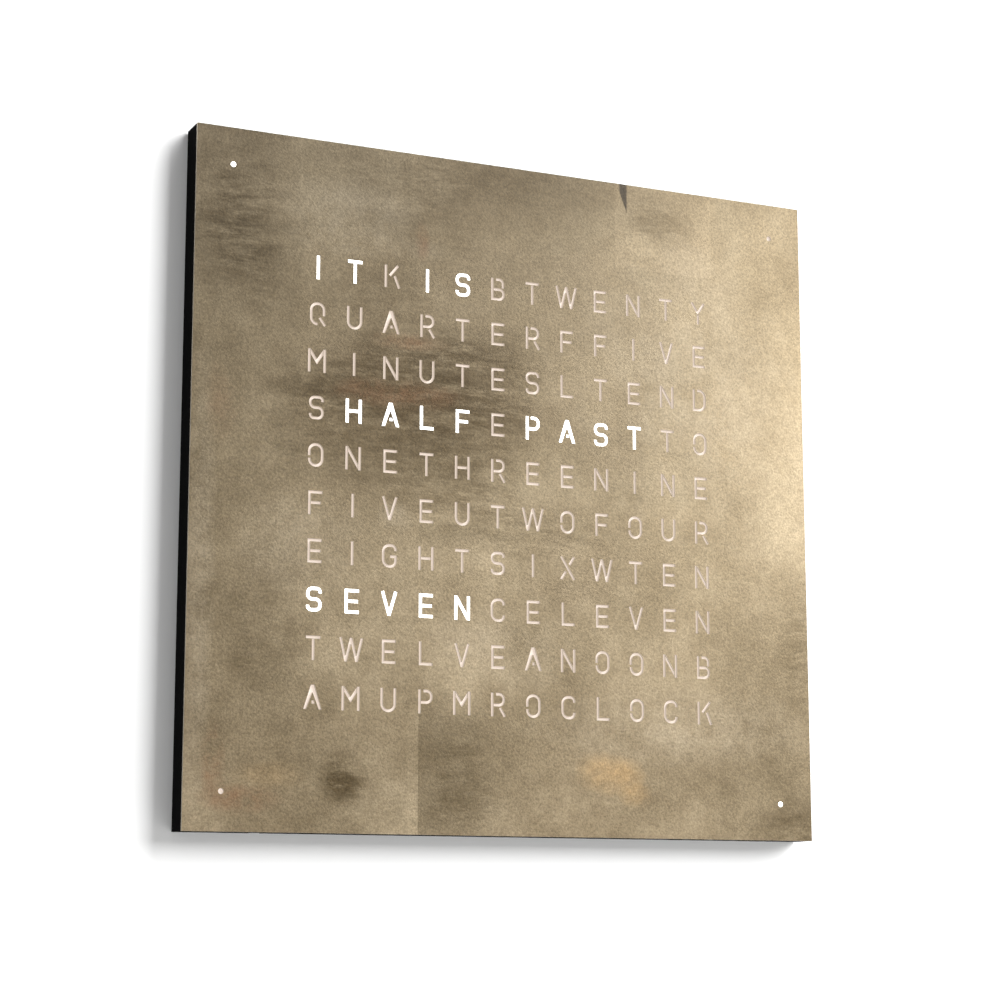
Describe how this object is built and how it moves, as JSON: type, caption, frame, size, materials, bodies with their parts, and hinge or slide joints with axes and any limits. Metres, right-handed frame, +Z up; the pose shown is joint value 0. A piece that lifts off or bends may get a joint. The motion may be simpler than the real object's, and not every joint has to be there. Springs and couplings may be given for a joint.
{
  "type": "word clock",
  "caption": "Square wall word clock: letters cut through a bronze-finished steel plate, lit from a thin black casing.",
  "frame": {"origin": "middle of the casing's back face, on the wall", "axes": "+Z up, +X to the viewer's right, the face looks along -Y; +Y points into the wall"},
  "size_m": [0.45, 0.021, 0.45],
  "materials": {
    "front_steel": "satin, cloudy bronze leaf",
    "diffuser_film": "matt",
    "bright_steel": "plated",
    "hanger_steel": "zinc plated",
    "casing_black": "fine matt",
    "inner_black": "matt",
    "button_black": "satin",
    "board_laminate": "black solder mask",
    "led_resin": "gloss",
    "chip_black": "matt",
    "can_metal": "satin",
    "connector_white": "matt",
    "ribbon_film": "gloss",
    "lead_sleeve": "satin",
    "ferrite": "matt",
    "coil_copper": "enamelled",
    "window_clear": "clear gloss"
  },
  "bodies": {
    "casing": {"casing": "casing_black", "plate_magnets": "bright_steel", "light_grid": "inner_black", "led_board": "board_laminate", "letter_leds": "led_resin", "driver_chips": "chip_black", "grid_screws": "bright_steel", "corner_boards": "board_laminate", "corner_leds": "led_resin", "corner_light_cups": "inner_black", "corner_leads": "lead_sleeve", "control_board": "board_laminate", "microcontroller": "chip_black", "clock_chip": "chip_black", "timing_crystal": "bright_steel", "power_coil": "chip_black", "power_capacitors": "can_metal", "coin_cell_holder": "inner_black", "coin_cell": "bright_steel", "power_header": "connector_white", "ribbon_connectors": "connector_white", "ribbon_cable": "ribbon_film", "board_screws": "bright_steel", "power_socket": "inner_black", "socket_pin": "bright_steel", "power_leads": "lead_sleeve", "ferrite_rod": "ferrite", "antenna_coil": "coil_copper", "rod_holders": "connector_white", "radio_board": "board_laminate", "radio_chip": "chip_black", "antenna_lead": "lead_sleeve", "sensor_board": "board_laminate", "light_sensor": "chip_black", "sensor_window": "window_clear", "sensor_lead": "lead_sleeve", "button_lead": "lead_sleeve", "button_board": "board_laminate", "switch_bodies": "chip_black", "keyhole_plates": "hanger_steel", "hanger_screws": "bright_steel"},
    "front": {"front_plate": "front_steel", "diffuser_sheet": "diffuser_film", "plate_studs": "bright_steel"},
    "mode_key": {"mode_button": "button_black", "mode_plunger": "connector_white"},
    "hour_key": {"hour_button": "button_black", "hour_plunger": "connector_white"},
    "minute_key": {"minute_button": "button_black", "minute_plunger": "connector_white"},
    "dimmer_key": {"dimmer_button": "button_black", "dimmer_plunger": "connector_white"}
  },
  "joints": [
    {"name": "plate_pull", "type": "slide", "parent": "casing", "child": "front", "axis": [0, -1, 0], "range_m": [0, 0.06]},
    {"name": "mode_press", "type": "slide", "parent": "casing", "child": "mode_key", "axis": [0, 0, 1], "range_m": [0, 0.0008], "stiffness_N_per_m": 1500, "springref_m": -0.0004},
    {"name": "hour_press", "type": "slide", "parent": "casing", "child": "hour_key", "axis": [0, 0, 1], "range_m": [0, 0.0008], "stiffness_N_per_m": 1500, "springref_m": -0.0004},
    {"name": "minute_press", "type": "slide", "parent": "casing", "child": "minute_key", "axis": [0, 0, 1], "range_m": [0, 0.0008], "stiffness_N_per_m": 1500, "springref_m": -0.0004},
    {"name": "dimmer_press", "type": "slide", "parent": "casing", "child": "dimmer_key", "axis": [0, 0, 1], "range_m": [0, 0.0008], "stiffness_N_per_m": 1500, "springref_m": -0.0004}
  ]
}
